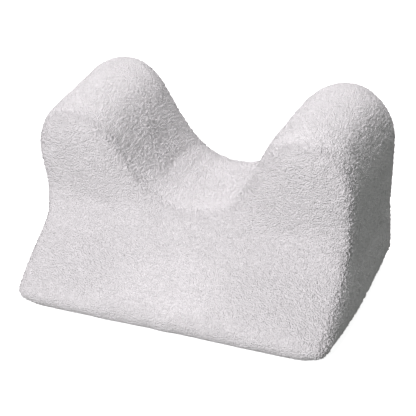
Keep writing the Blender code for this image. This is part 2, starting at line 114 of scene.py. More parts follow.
# ---- sewing, zip and label -----------------------------------------------------------------------
THREAD = 0.0009            # thickness of the seams' thread
THREAD_STEP = 0.0011       # from one place on a seam's thread to the next
THREAD_TURN = 3.3          # places in one stitch of it
THREAD_WEAVE = (0.00045, 0.0003)           # how far it weaves from side to side, and in and out
HEM_END = 0.142            # the front and back hems run out to here
HEM_LIFT = 0.0004          # which keeps their thread off the floor
SLOT_HALF = np.array((0.127, 0.0056))      # half the length and height of the cover's slot for the zip
SLIT_HALF = (0.130, 0.007)                 # and of the opening in the liner behind it
STITCH_GAP = 0.0024        # from the slot's edge to the zip's stitches
STITCH = 0.0026            # length of one of those
STITCH_PITCH = 0.0034      # and from the start of one to the next
STITCH_THREAD = 0.0006
ZIP_HEIGHT = 0.046         # of the zip's line above the floor
DENT = 0.0013              # how far the cloth gives way where the pull tab lies, past the slot's ends
DENT_END = 0.152           # how far out that goes
LABEL_SIZE = np.array((0.030, 0.020))
LABEL_MIDDLE = np.array((-0.141, 0.100))   # to the left and up, on the back

# ---- camera: degrees, metres and millimetres -----------------------------------------------------
AZIMUTH, ELEVATION, ROLL = 24.621, 28.066, -2.709
CAMERA_PLACE = (0.41396, -0.89552, 0.60609)
LENS = 98.3

TOP, FRONT, BOTTOM, LOWER, UPPER, SLOT = range(6)


# ---- outlines and the form -----------------------------------------------------------------------
def rounded(corners, steps=10):
    """Outline through (x, y, radius) corners, each corner with a radius turned into an arc."""
    path = []
    for before, here, after in zip(corners[-1:] + corners[:-1], corners, corners[1:] + corners[:1]):
        corner = Vector(here[:2])
        if len(here) == 2:
            path.append(corner)
            continue
        back = (Vector(before[:2]) - corner).normalized()
        ahead = (Vector(after[:2]) - corner).normalized()
        half = back.angle(ahead) / 2
        centre = corner + (back + ahead).normalized() * here[2] / math.sin(half)
        start = corner + back * here[2] / math.tan(half) - centre
        turn = math.copysign(math.pi - 2 * half, start.y * back.x - start.x * back.y)
        path += [centre + Matrix.Rotation(turn * step / steps, 2) @ start for step in range(steps + 1)]
    return np.array(path)


def bezier(start, handle_a, handle_b, end, count=24):
    """Places on a cubic curve, without its end."""
    t = np.linspace(0, 1, count)[:-1, None]
    return ((1 - t) ** 3 * start + 3 * (1 - t) ** 2 * t * handle_a
            + 3 * (1 - t) * t ** 2 * handle_b + t ** 3 * end)


def saddle_outline():
    """Half of the U, from its middle over the lobe and down the end face, closed below the floor."""
    way = np.array((1.0, WALL_SLOPE)) / math.hypot(1.0, WALL_SLOPE)
    low = np.linalg.norm(WALL - SADDLE)
    high = np.linalg.norm(CREST - WALL)
    over, drop = SHOULDER - CREST
    curve = [bezier(SADDLE, SADDLE + (low * 0.5, 0), WALL - way * low * 0.35, WALL),
             bezier(WALL, WALL + way * high * 0.4, CREST - (high * 0.35, 0), CREST),
             bezier(CREST, CREST + (over * 0.6, 0), SHOULDER - (0, drop * 0.55), SHOULDER)]
    below = np.array([SHOULDER, (HALF_WIDTH, -0.08), (-0.05, -0.08), (-0.05, SADDLE[1])])
    return np.vstack(curve + [below])


class DistanceMap:
    """Signed distance to a closed outline, negative inside, read from a fine grid."""

    def __init__(self, outline, low, high, step=0.0005):
        self.low = np.array(low)
        self.step = step
        count = np.ceil((np.array(high) - self.low) / step).astype(int) + 2
        across, up = np.meshgrid(*(low[i] + step * np.arange(count[i]) for i in (0, 1)), indexing="ij")
        nearest = np.full(across.shape, np.inf)
        inside = np.zeros(across.shape, bool)
        for start, end in zip(outline, np.roll(outline, -1, axis=0)):
            run, rise = end - start
            along = ((across - start[0]) * run + (up - start[1]) * rise) / (run * run + rise * rise)
            along = np.clip(along, 0, 1)
            gap = np.hypot(across - start[0] - along * run, up - start[1] - along * rise)
            nearest = np.minimum(nearest, gap)
            spans = (start[1] > up) != (end[1] > up)
            inside ^= spans & (across < run * (up - start[1]) / (rise or 1e-12) + start[0])
        self.values = np.where(inside, -nearest, nearest)

    def __call__(self, across, up):
        limit = np.array(self.values.shape) - 1.001
        i = np.clip((across - self.low[0]) / self.step, 0, limit[0])
        j = np.clip((up - self.low[1]) / self.step, 0, limit[1])
        a, b = i.astype(int), j.astype(int)
        i, j = i - a, j - b
        grid = self.values
        return ((grid[a, b] * (1 - j) + grid[a, b + 1] * j) * (1 - i)
                + (grid[a + 1, b] * (1 - j) + grid[a + 1, b + 1] * j) * i)


boot_outline = rounded([NOSE, WAIST, LOBE_FRONT, FRONT_TOP, BACK_TOP, BACK_UPPER, BACK_LOWER, HEEL])
boot_map = DistanceMap(boot_outline, (-0.16, -0.03), (0.14, 0.24))
saddle_map = DistanceMap(saddle_outline(), (-0.01, -0.03), (0.20, 0.24))


def depths(points):
    """Distances to the boot's and to the U's outline at each point, and the reach of their rounding."""
    x, y, z = points.T
    across = np.abs(x)
    back = (y - NOSE[0]) / END_DEPTH
    low = np.clip(1 - z / FOOT_TOP, 0, 1)
    swell = -END_HOLLOW * np.clip(1 - ((back - 0.55) / 0.6) ** 2, 0, 1) * (1 - low)
    swell += FOOT_BULGE * np.clip(1 - np.abs((back - 0.35) / 0.62) ** 2.5, 0, 1) * low
    swell -= TOE_IN * np.clip(1 - back / 0.6, 0, 1) ** 2 * low
    across = across - swell * np.clip(across / HALF_WIDTH, 0, 1) ** 2
    across = across / (1 + END_LEAN * (z - END_MIDDLE))
    crest = np.clip(across / CREST[0], 0, 1)
    crest = crest * crest * (3 - 2 * crest)
    lift = (CREST_RISE * crest - SADDLE_FALL * (1 - crest)) * (y - LEVEL_Y)
    inner = np.clip((HALF_WIDTH - across) / 0.025, 0, 1)
    return boot_map(y, z), saddle_map(across, z - lift), END_REACH + (RIM_REACH - END_REACH) * inner


def form(points):
    """Signed distance from the cover's smooth form, negative inside: both outlines at once, their
    shared edges rounded."""
    boot, saddle, reach = depths(points)
    blend = np.maximum(reach - np.abs(boot - saddle), 0) / reach
    return np.maximum(boot, saddle) + blend * blend * reach / 4


def seam_side(points):
    """Above zero on the front, back and bottom panels, below zero on the top strip."""
    boot, saddle, _ = depths(points)
    return boot - saddle


def slope(field, points, step=0.0004):
    """Gradient of a field of points."""
    sides = [(field(points + step * axis) - field(points - step * axis)) / (2 * step) for axis in np.eye(3)]
    return np.stack(sides, axis=1)


def settle(points, field, level=0.0, rounds=4):
    """Move points along a field's gradient until the field is at a level."""
    for _ in range(rounds):
        way = slope(field, points)
        points = points - way * ((field(points) - level) / np.maximum((way ** 2).sum(1), 0.05))[:, None]
    return points


def unit(vectors):
    """The vectors with a length of 1."""
    return vectors / np.maximum(np.linalg.norm(vectors, axis=1), 1e-9)[:, None]


# ---- places on the back --------------------------------------------------------------------------
BACK_LEAN = BACK_LOWER[0] - HEEL[0]
ZIP_UP = np.array((0.0, BACK_LEAN, BACK_LOWER[1])) / math.hypot(BACK_LEAN, BACK_LOWER[1])
ZIP_LINE = np.array((0.0, HEEL[0] + ZIP_UP[1] / ZIP_UP[2] * ZIP_HEIGHT, ZIP_HEIGHT))


def zip_height(points):
    """How far up the back's lower face from the zip's line."""
    return (points - ZIP_LINE) @ ZIP_UP


def slot_edge(points):
    """Distance out of the zip's slot, negative within it."""
    return np.maximum(np.abs(points[:, 0]) - SLOT_HALF[0], np.abs(zip_height(points)) - SLOT_HALF[1])


def front_hem(points):
    """Distance behind the seam between the bottom and the front panel."""
    return points[:, 1] - FLOOR_SEAM_FRONT


def back_hem(points):
    """Distance behind the seam between the bottom and the lower back panel."""
    return points[:, 1] - FLOOR_SEAM_BACK


def panel_of(points):
    """Which panel of the cover each point lies on."""
    y, z = points[:, 1], points[:, 2]
    sewn = seam_side(points) > 0
    floor = (z < UNDERSIDE) & (front_hem(points) > 0) & (back_hem(points) < 0)
    panel = np.full(len(points), TOP)
    panel[sewn] = np.where(y < 0, FRONT, np.where(zip_height(points) > 0, UPPER, LOWER))[sewn]
    panel[sewn & (y > 0) & (slot_edge(points) < 0)] = SLOT
    panel[sewn & floor] = BOTTOM
    return panel


# ---- random but repeatable relief ----------------------------------------------------------------
def scatter(cells, seed):
    """Three even random numbers from 0 to 1 for each cell, the same on every run."""
    turn = cells @ np.array((12.9898, 78.233, 37.719)) + seed * 3.117
    return np.modf(np.abs(np.sin(turn[:, None] + (0.0, 1.7, 4.1)) * 43758.5453))[0]


def tufts(points, spacing, seed):
    """Rounded lumps about a spacing apart: 1 in the middle of a lump, 0 between lumps."""
    cell = np.floor(points / spacing)
    nearest = np.full(len(points), np.inf)
    for shift in itertools.product((-1, 0, 1), repeat=3):
        corner = cell + shift
        middle = (corner + scatter(corner, seed)) * spacing
        nearest = np.minimum(nearest, ((points - middle) ** 2).sum(1))
    return np.clip(1 - nearest / (0.8 * spacing) ** 2, 0, 1)


def waves(points, spacing, seed):
    """Smooth swelling between -1 and 1, with hills about a spacing wide."""
    cell = np.floor(points / spacing)
    part = points / spacing - cell
    part = part * part * (3 - 2 * part)
    total = np.zeros(len(points))
    for corner in itertools.product((0, 1), repeat=3):
        share = np.prod(np.where(corner, part, 1 - part), axis=1)
        total += share * scatter(cell + corner, seed)[:, 0]
    return 2 * total - 1


def near(distance, width):
    """1 at no distance, falling away over a width."""
    return np.exp(-(distance / width) ** 2)


# ---- meshes --------------------------------------------------------------------------------------
def even_mesh(node, size):
    """A CAD node's shape as points and quads of one size."""
    source = bmesh.new()
    source.from_mesh(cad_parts[node].data)
    bmesh.ops.remove_doubles(source, verts=source.verts, dist=0.00001)
    mesh = bpy.data.meshes.new("blank")
    source.to_mesh(mesh)
    source.free()
    blank = bpy.data.objects.new("blank", mesh)
    bpy.context.scene.collection.objects.link(blank)
    remesh = blank.modifiers.new("even", "REMESH")
    remesh.mode = "VOXEL"
    remesh.voxel_size = size
    even = blank.evaluated_get(bpy.context.evaluated_depsgraph_get()).to_mesh()
    points = np.empty(len(even.vertices) * 3, np.float32)
    corners = np.empty(len(even.loops), np.int32)
    even.vertices.foreach_get("co", points)
    even.loops.foreach_get("vertex_index", corners)
    bpy.data.objects.remove(blank)
    bpy.data.meshes.remove(mesh)
    return points.reshape(-1, 3).astype(float), corners.reshape(-1, 4)


def neighbours(quads, total):
    """Pairs of points that share an edge, both ways round, and how many pairs each point has."""
    ends = np.vstack([quads[:, [side, (side + 1) % 4]] for side in range(4)])
    ends = np.vstack([ends, ends[:, ::-1]])
    return ends, np.bincount(ends[:, 0], minlength=total)


def evened(points, quads, held, rounds, level=0.0):
    """The points spread evenly over the form, the held ones staying put."""
    ends, count = neighbours(quads, len(points))
    for _ in range(rounds):
        total = [np.bincount(ends[:, 0], points[ends[:, 1], axis], len(points)) for axis in range(3)]
        moved = settle(points + 0.6 * (np.stack(total, 1) / count[:, None] - points), form, level, 1)
        points = np.where(held[:, None], points, moved)
    return points


def edges_of(faces, count):
    """The directed edges that only one face has."""
    sides = faces.shape[1]
    ends = np.vstack([faces[:, [side, (side + 1) % sides]] for side in range(sides)]).astype(np.int64)
    there = ends[:, 0] * count + ends[:, 1]
    back = ends[:, 1] * count + ends[:, 0]
    return ends[~np.isin(there, back)]


def add_piece(name, points, faces, material, nodes, pile=None):
    """A smooth mesh that rides on the pillow and stands for CAD nodes."""
    mesh = bpy.data.meshes.new(name)
    mesh.from_pydata(points, [], faces)
    mesh.validate()
    if pile is not None:
        mesh.attributes.new("pile", "FLOAT", "POINT").data.foreach_set("value", pile.astype(np.float32))
    mesh.shade_smooth()
    return place(bpy.data.objects.new(name, mesh), material, nodes)


def keep_edge(mesh, pairs):
    """Marks edges sharp, so that a panel's shading doesn't run round on to its hem."""
    ends = np.empty(len(mesh.edges) * 2, np.int32)
    mesh.edges.foreach_get("vertices", ends)
    size = len(mesh.vertices)
    keys = np.sort(ends.reshape(-1, 2).astype(np.int64), axis=1) @ (size, 1)
    sharp = np.isin(keys, np.sort(pairs, axis=1) @ (size, 1))
    mesh.attributes.new("sharp_edge", "BOOLEAN", "EDGE").data.foreach_set("value", sharp)


def place(thing, material, nodes):
    """Puts a piece in the scene, on the pillow, in the place of CAD nodes."""
    bpy.context.scene.collection.objects.link(thing)
    thing.data.materials.append(material)
    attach(thing, "pillow")
    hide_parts(*nodes)
    return thing


def threads(name, lines, diameter, material, nodes):
    """One piece made of threads along lists of places."""
    curve = bpy.data.curves.new(name, "CURVE")
    curve.dimensions = "3D"
    curve.bevel_depth = diameter / 2
    curve.bevel_resolution = 2
    curve.use_fill_caps = True
    for line in lines:
        spline = curve.splines.new("POLY")
        spline.points.add(len(line) - 1)
        spline.points.foreach_set("co", np.column_stack([line, np.ones(len(line))]).ravel())
    return place(bpy.data.objects.new(name, curve), material, nodes)


# ---- the cover -----------------------------------------------------------------------------------
def sewn_form():
    """The cover's smooth form as points and quads, with the panel that each quad belongs to."""
    points, quads = even_mesh("foam_core", GRAIN)
    points = evened(settle(points, form, rounds=6), quads, np.zeros(len(points), bool), 6)
    panel = panel_of(points[quads].mean(axis=1))
    member = np.zeros((len(points), 6), bool)
    for side in range(4):
        member[quads[:, side], panel] = True
    held = member.sum(1) > 1
    floor = member[:, BOTTOM]

    # Points that two panels share are pulled on to the exact line of the seam between them.
    borders = [(seam_side, member[:, TOP] & held),
               (front_hem, member[:, FRONT] & floor),
               (back_hem, member[:, LOWER] & floor),
               (zip_height, member[:, LOWER] & member[:, UPPER]),
               (slot_edge, member[:, SLOT] & held),
               (form, held)]
    for _ in range(8):
        for field, members in borders:
            points[members] = settle(points[members], field, rounds=1)
    return evened(points, quads, held, 5), quads, panel


def from_seam(points):
    """Distances of places on the form from the nearest seam, and out of the zip's slot."""
    x, y, z = points.T
    gap = np.abs(seam_side(points)) / np.maximum(np.linalg.norm(slope(seam_side, points), axis=1), 0.5)
    for hem in (front_hem, back_hem):
        gap = np.where(z < UNDERSIDE, np.minimum(gap, np.abs(hem(points))), gap)
    back = (y > BACK_Y) & (seam_side(points) > 0)
    beyond = back & (np.abs(x) > SLOT_HALF[0])
    gap = np.where(beyond, np.minimum(gap, np.abs(zip_height(points))), gap)
    return gap, np.where(back & (z < SLOT_TOP), slot_edge(points), 1.0)


def pressed_cloth(points, quads):
    """Simulates a closed cloth with filling pressure inside, held where the cover is sewn or zipped,
    and under the pillow. Gives each point's new place."""
    mesh = bpy.data.meshes.new("drawn")
    mesh.from_pydata(points, [], quads)
    thing = bpy.data.objects.new("drawn", mesh)
    bpy.context.scene.collection.objects.link(thing)
    gap, slot = from_seam(points)
    fixed = (gap < CLOTH_GRID * 0.7) | (slot < CLOTH_GRID) | (points[:, 2] < 0.004)
    thing.vertex_groups.new(name="sewn").add(np.flatnonzero(fixed).tolist(), 1.0, "REPLACE")
    cloth = thing.modifiers.new("cloth", "CLOTH")
    cloth.settings.quality = 5
    cloth.settings.mass = CLOTH_MASS
    cloth.settings.bending_stiffness = CLOTH_STIFFNESS
    cloth.settings.use_pressure = True
    cloth.settings.uniform_pressure_force = CLOTH_PRESSURE
    cloth.settings.effector_weights.gravity = 0.0
    cloth.settings.vertex_group_mass = "sewn"
    cloth.collision_settings.use_collision = False
    for step in range(1, CLOTH_STEPS + 1):
        bpy.context.scene.frame_set(step)
    pressed = thing.evaluated_get(bpy.context.evaluated_depsgraph_get()).to_mesh()
    moved = np.empty(len(points) * 3, np.float32)
    pressed.vertices.foreach_get("co", moved)
    bpy.data.objects.remove(thing)
    bpy.data.meshes.remove(mesh)
    bpy.context.scene.frame_set(1)
    return moved.reshape(-1, 3)


def drawn_cloth(fine, quads):
    """How far the filling presses the sewn cloth out at each fine point, from a coarse simulation."""
    coarse, cells = even_mesh("foam_core", CLOTH_GRID)
    free = np.zeros(len(coarse), bool)
    coarse = evened(settle(coarse, form, -CLOTH_SLACK, 6), cells, free, 3, -CLOTH_SLACK)
    moved = pressed_cloth(coarse, cells)
    rise = ((moved - coarse) * unit(slope(form, coarse))).sum(1)
    rise = np.clip(rise, -CLOTH_LIMIT, CLOTH_LIMIT) - CLOTH_SLACK

    # Each fine point takes the mean of the four nearest coarse points, then the whole is smoothed.
    tree = kdtree.KDTree(len(coarse))
    for index, spot in enumerate(coarse):
        tree.insert(spot, index)
    tree.balance()
    spread = np.empty(len(fine))
    for index, spot in enumerate(fine):
        found = tree.find_n(spot, 4)
        weights = [1 / (distance * distance + 1e-6) for _, _, distance in found]
        total = sum(rise[one[1]] * weight for one, weight in zip(found, weights))
        spread[index] = total / sum(weights)
    ends, count = neighbours(quads, len(fine))
    for _ in range(10):
        spread = np.bincount(ends[:, 0], spread[ends[:, 1]], len(fine)) / count
    return spread


def loft(points, outward):
    """How tall the pile stands: short over the crests and the apron, full in the hollow and on the
    end faces."""
    x, _, z = points.T
    crest = np.clip((z - 0.13) / 0.05, 0, 1) * np.clip(outward[:, 2], 0, 1) ** 3
    front = np.clip(-outward[:, 1], 0, 1)
    apron = front * np.clip((0.12 - z) / 0.03, 0, 1) * np.clip((0.12 - x) / 0.08, 0, 1)
    end = np.clip((np.abs(outward[:, 0]) - 0.6) / 0.3, 0, 1)
    return 1.3 - 0.65 * crest - 0.3 * front - 0.5 * apron + 0.3 * end


def relief(points, outward, drawn):
    """How far the cloth stands out of the smooth form, and its pile's height from 0 to 1, which colours the
    terry and is lowered along the seams as painted shade.
    """
    x, y, z = points.T
    gap, slot = from_seam(points)
    tips = scatter(np.round(points / GRAIN * 2), 5)[:, 0]
    pile = LOOP_SHARE * tufts(points, LOOP, 1) + (1 - LOOP_SHARE) * tips

    # The floor, the zip's stitches and the pull tab past the slot's ends press the cloth flat.
    pressed = np.clip((z - 0.0005) / 0.005, 0.1, 1) * np.clip((slot - 0.0006) / 0.0045, 0.2, 1)
    short = np.maximum(SLOT_HALF[0] - 0.001 - np.abs(x), 0)
    dent = near(zip_height(points), 0.008) * near(short, 0.003) * (y > BACK_Y)
    dent *= np.clip((DENT_END - np.abs(x)) / 0.008, 0, 1)
    pressed *= 1 - 0.85 * dent

    # Slack: wide swells, small ripples, faint rows on the upright front and lumps along the nose.
    upright = (y < -0.02) & (seam_side(points) > 0)
    rows = np.sin(z * 2 * math.pi / ROWS[1] + 2.2 * waves(points, 0.03, 11))
    rows *= near(z - 0.125, 0.05) * upright
    lumps = near(np.hypot(y + 0.128, z - 0.004), 0.022) * waves(points * (1, 0.5, 1), LUMPS[1], 12)
    out = PILE * loft(points, outward) * pressed * (pile - PILE_MIDDLE) * (1 + 0.8 * near(gap, 0.007))
    out += SWELLS[0] * waves(points, SWELLS[1], 2) * np.clip(z / UNDERSIDE, 0, 1) * pressed + drawn
    out += RIPPLES[0] * waves(points, RIPPLES[1], 3) * pressed
    out += ROWS[0] * rows * waves(points, 0.035, 13) + LUMPS[0] * lumps * pressed

    # Seams: a soft ridge with the seam sunk in it, and the furrow that the zip's stitches pull.
    ridge = RIDGE - (RIDGE - END_RIDGE) * np.clip((np.abs(x) - 0.13) / 0.03, 0, 1)
    out += ridge * near(gap, RIDGE_WIDTH) * pressed
    out -= SEAM_SINK * near(gap, SEAM_WIDTH)
    out -= FURROW[0] * near(slot - STITCH_GAP, FURROW[1]) + DENT * dent
    # The pile's height given back is lowered along the seams: painted shade in their creases.
    return out, pile * np.clip(0.9 + 0.1 * gap / SEAM_WIDTH, 0, 1)


def with_hem(rim, ends, shown, outward, turns):
    """Rings of places turned in from a panel's rim, and the faces that join them to it."""
    places, faces, last = [], [], rim
    for depth in turns:
        ring = len(shown) + len(rim) * len(places) + np.arange(len(rim))
        places.append(shown[rim] - outward[rim] * depth)
        faces.append(np.column_stack([last[ends[:, 1]], last[ends[:, 0]],
                                      ring[ends[:, 0]], ring[ends[:, 1]]]))
        last = ring
    return places, faces


def build_cover():
    """The five sewn panels, each with its pile and with a hem turned in all round."""
    points, quads, panel = sewn_form()
    outward = unit(slope(form, points))
    drawn = drawn_cloth(points, quads)
    out, pile = relief(points, outward, drawn)
    cloth = points + outward * out[:, None]
    cloth[:, 2] = np.maximum(cloth[:, 2], 0.0)
    made = [("cover_top", TOP, terry, "terry", ["cover_top_strip"]),
            ("cover_front", FRONT, terry, "terry", ["cover_front_panel"]),
            ("cover_bottom", BOTTOM, base_terry, "terry_base", ["cover_bottom_panel"]),
            ("cover_lower_back", LOWER, terry, "terry", ["cover_back_lower"]),
            ("cover_upper_back", UPPER, terry, "terry", ["cover_back_upper"])]
    for name, number, material, slot, nodes in made:
        used, corners = np.unique(quads[panel == number], return_inverse=True)
        faces = corners.reshape(-1, 4)
        edge = edges_of(faces, len(used))
        rim, ends = np.unique(edge, return_inverse=True)
        rings, hem = with_hem(rim, ends.reshape(-1, 2), cloth[used], outward[used], (HEM * 0.35, HEM))
        # The turned-in hem rings get a lower pile height, which the terry's colour turns into painted shade
        # in the seams.
        height = np.concatenate([pile[used], pile[used][rim] * 0.6, pile[used][rim] * 0.3])
        piece = add_piece(name, np.vstack([cloth[used]] + rings), np.vstack([faces] + hem),
                          material, nodes, height)
        keep_edge(piece.data, edge)


def build_inside():
    """The foam and the liner round it, which has an opening behind the zip."""
    points, quads = even_mesh("foam_core", CORE_GRID)
    free = np.zeros(len(points), bool)
    core = evened(settle(points, form, -CORE_DEPTH, 6), quads, free, 3, -CORE_DEPTH)
    piece = add_piece("foam_block", core, quads, foam, ["foam_core"])
    skin = evened(settle(points, form, -LINER_DEPTH, 6), quads, free, 3, -LINER_DEPTH)
    middle = skin[quads].mean(axis=1)
    opening = (middle[:, 1] > BACK_Y) & (np.abs(middle[:, 0]) < SLIT_HALF[0])
    opening &= np.abs(zip_height(middle)) < SLIT_HALF[1]
    piece = add_piece("liner", skin, quads[~opening], jersey, ["inner_liner"])
    thick = piece.modifiers.new("cloth", "SOLIDIFY")
    thick.thickness = LINER
    thick.offset = -1


# ---- sewing ---------------------------------------------------------------------------------------
def along(line, spacing):
    """The line again with places an even spacing apart."""
    run = np.concatenate([[0], np.cumsum(np.linalg.norm(np.diff(line, axis=0), axis=1))])
    there = np.linspace(0, run[-1], max(2, int(run[-1] / spacing)))
    return np.column_stack([np.interp(there, run, line[:, axis]) for axis in range(3)])


def on_borders(places, fields):
    """The places moved on to the form and on to each field's zero line."""
    for _ in range(12):
        for field in fields + [form]:
            places = settle(places, field, rounds=1)
    return places


def rim_seam(start_y, lowest):
    """The seam up one end face, over both lobes and down the other to a lowest height, found from
    about where it lies in Y."""
    half = saddle_outline()[:-3]
    both = np.vstack([half[::-1] * (-1, 1), half[1:]])
    foot = both[-1] * (1, 0) + (0, lowest)
    line = np.vstack([foot * (-1, 1), both, foot])
    line = np.column_stack([line[:, 0], np.full(len(line), start_y), line[:, 1]])
    line = on_borders(along(line, 0.004), [seam_side])
    return along(line, THREAD_STEP)


def sewn(line):
    """A thread's path: it weaves a little from side to side and in and out, stitch by stitch."""
    turn = np.arange(len(line)) * 2 * math.pi / THREAD_TURN
    way = unit(np.gradient(line, axis=0))
    out = unit(slope(form, line))
    side = np.cross(way, out)
    across, deep = THREAD_WEAVE
    weave = side * across * np.sin(turn)[:, None] + out * deep * np.cos(turn)[:, None]
    return line - out * (SEAM_SINK + THREAD * 1.4) + weave


def build_seams():
    """The threads of the two rim seams and of the four hems round the bottom panel. A hem starts as a
    straight line near its seam."""
    for name, start_y, lowest in (("front", -0.06, 0.016), ("back", 0.095, 0.02)):
        line = sewn(rim_seam(start_y, lowest))
        threads(f"{name}_seam", [line], THREAD, cotton, [f"{name}_seam_thread"])
    for name, side in (("left", -1), ("right", 1)):
        line = np.linspace((side * 0.16, -0.09, 0.002), (side * 0.16, 0.085, 0.002), 40)
        hem = along(on_borders(line, [seam_side]), THREAD_STEP)
        threads(f"{name}_hem", [sewn(hem)], THREAD, cotton, [f"hem_thread_{name}"])
    for name, y, field in (("front", FLOOR_SEAM_FRONT, front_hem), ("back", FLOOR_SEAM_BACK, back_hem)):
        line = np.linspace((-HEM_END, y, 0.001), (HEM_END, y, 0.001), 60)
        hem = along(on_borders(line, [field]), THREAD_STEP)
        threads(f"{name}_hem", [sewn(hem) + (0, 0, HEM_LIFT)], THREAD, cotton, [f"hem_thread_{name}"])


def build_zip_stitches():
    """Two rows of short stitches that hold the zip's tapes, sunk in the pile."""
    outward = np.cross((-1, 0, 0), ZIP_UP)
    for name, side in (("lower", -1), ("upper", 1)):
        rows = []
        for start in np.arange(-SLOT_HALF[0], SLOT_HALF[0] - 0.003, STITCH_PITCH):
            x = np.linspace(start, start + STITCH, 5)
            rise = np.array((-0.0005, 0.0002, 0.0003, 0.0002, -0.0005))
            row = ZIP_LINE + ZIP_UP * side * (SLOT_HALF[1] + STITCH_GAP) + np.outer(rise, outward)
            row[:, 0] = x
            rows.append(row)
        threads(f"{name}_zip_stitch", rows, STITCH_THREAD, cotton, [f"zip_stitch_{name}"])


def build_label():
    """A blank woven label that lies on the back panel, its edges rounded down as if folded under."""
    columns, rows = 31, 21
    grid = np.meshgrid(np.linspace(-1, 1, columns), np.linspace(-1, 1, rows), indexing="ij")
    u, v = (share.ravel() for share in grid)
    x = -LABEL_MIDDLE[0] + u * LABEL_SIZE[0] / 2
    z = LABEL_MIDDLE[1] + v * LABEL_SIZE[1] / 2
    flat = settle(np.column_stack([x, np.full(len(x), 0.10), z]), form, 0.0, 6)
    edge = np.clip((1 - np.maximum(np.abs(u), np.abs(v))) / 0.12, 0, 1)
    lift = 0.0006 + 0.0009 * np.sqrt(edge) + 0.0004 * waves(flat, 0.008, 31) * edge
    outward = unit(slope(form, flat))
    first = (np.arange(columns - 1)[:, None] * rows + np.arange(rows - 1)[None, :]).ravel()
    faces = np.column_stack([first, first + 1, first + rows + 1, first + rows])
    points = flat + outward * lift[:, None]
    facing = np.cross(points[rows] - points[0], points[1] - points[0]) @ outward[0]
    faces = faces if facing < 0 else faces[:, ::-1]
    piece = add_piece("label", points, faces, satin, ["care_label"])
    thick = piece.modifiers.new("cloth", "SOLIDIFY")
    thick.thickness = 0.0004
    thick.offset = -1


# ---- materials ------------------------------------------------------------------------------------
WAVE_SCALE = 0.314         # a wave texture's scale times the width of its bands


class Look:
    """A node material: a Principled shader, and short calls for the nodes that feed it."""

    def __init__(self, name, roughness, metallic=0.0):
        self.material = bpy.data.materials.new(name)
        self.material.use_nodes = True
        self.tree = self.material.node_tree
        self.shader = self.tree.nodes["Principled BSDF"]
        self.shader.inputs["Roughness"].default_value = roughness
        self.shader.inputs["Metallic"].default_value = metallic
        self.place = self.tree.nodes.new("ShaderNodeTexCoord").outputs["Object"]

    def join(self, output, socket):
        """Feeds a socket from a node's output."""
        self.tree.links.new(output, socket)
        return self

    def add(self, kind, inputs=(), **settings):
        """A node of a kind, with its settings, and with a value or an output for each named input."""
        node = self.tree.nodes.new("ShaderNode" + kind)
        for name, value in settings.items():
            setattr(node, name, value)
        for name, value in dict(inputs).items():
            if isinstance(value, bpy.types.NodeSocket):
                self.join(value, node.inputs[name])
            else:
                node.inputs[name].default_value = value
        return node

    def stretched(self, scale):
        """Places on the object, scaled along each axis."""
        return self.add("Mapping", {"Vector": self.place, "Scale": scale}).outputs["Vector"]

    def noise(self, scale, detail=2.0, vector=None):
        """Cloudy noise, with a scale in hills a metre."""
        node = self.add("TexNoise", {"Vector": vector or self.place, "Scale": scale, "Detail": detail})
        return node.outputs["Fac"]

    def cells(self, scale):
        """Distance from the middle of the nearest cell, with a scale in cells a metre."""
        node = self.add("TexVoronoi", {"Vector": self.place, "Scale": scale})
        return node.outputs["Distance"]

    def maths(self, operation, first, second):
        """A sum or a product of two outputs."""
        return self.add("Math", {0: first, 1: second}, operation=operation).outputs[0]

    def spread(self, value, low, high, to_low, to_high):
        """The value's range from low to high carried over to another range."""
        names = ("From Min", "From Max", "To Min", "To Max")
        inputs = dict(zip(names, (low, high, to_low, to_high)), Value=value)
        return self.add("MapRange", inputs).outputs["Result"]

    def tint(self, share, dark, light):
        """Base colour between two colours."""
        node = self.add("Mix", {"Factor": share}, data_type="RGBA")
        for socket, colour in ((node.inputs[6], dark), (node.inputs[7], light)):
            socket.default_value = (*colour, 1.0)
        return self.join(node.outputs[2], self.shader.inputs["Base Color"])

    def bump(self, height, depth):
        """Fine relief, as deep as this in metres."""
        node = self.add("Bump", {"Height": height, "Distance": depth, "Strength": 1.0})
        return self.join(node.outputs["Normal"], self.shader.inputs["Normal"])

    def rough(self, value, low, high):
        """Roughness between two values."""
        return self.join(self.spread(value, 0.0, 1.0, low, high), self.shader.inputs["Roughness"])


def terry_cloth(name, dark, light):
    """Cotton loops: painted shade at the loops' roots and brighter tips, tight fluff on each loop, and a
    soft bloom.
    """
    look = Look(name, 0.95)
    height = look.add("Attribute", attribute_name="pile").outputs["Fac"]
    curls = look.spread(look.cells(780), 0.0, 0.8, 0.7, 0.0)
    fluff = look.maths("ADD", curls, look.noise(660, 3.0))
    # Painted shade: the lower the pile, the darker the colour, standing in for the shade between the loops.
    tips = look.spread(height, 0.1, 0.8, 0.0, 0.35)
    tone = look.maths("ADD", tips, look.spread(fluff, 0.5, 1.15, 0.0, 0.42))
    patches = look.spread(look.noise(30), 0.3, 0.7, 0.09, 0.21)
    look.tint(look.maths("ADD", tone, patches), dark, light)
    look.bump(fluff, 0.0020)
    look.rough(look.noise(500), 0.85, 1.0)
    look.shader.inputs["Sheen Weight"].default_value = 0.25
    look.shader.inputs["Sheen Roughness"].default_value = 0.6
    look.shader.inputs["Specular IOR Level"].default_value = 0.2
    return look.material


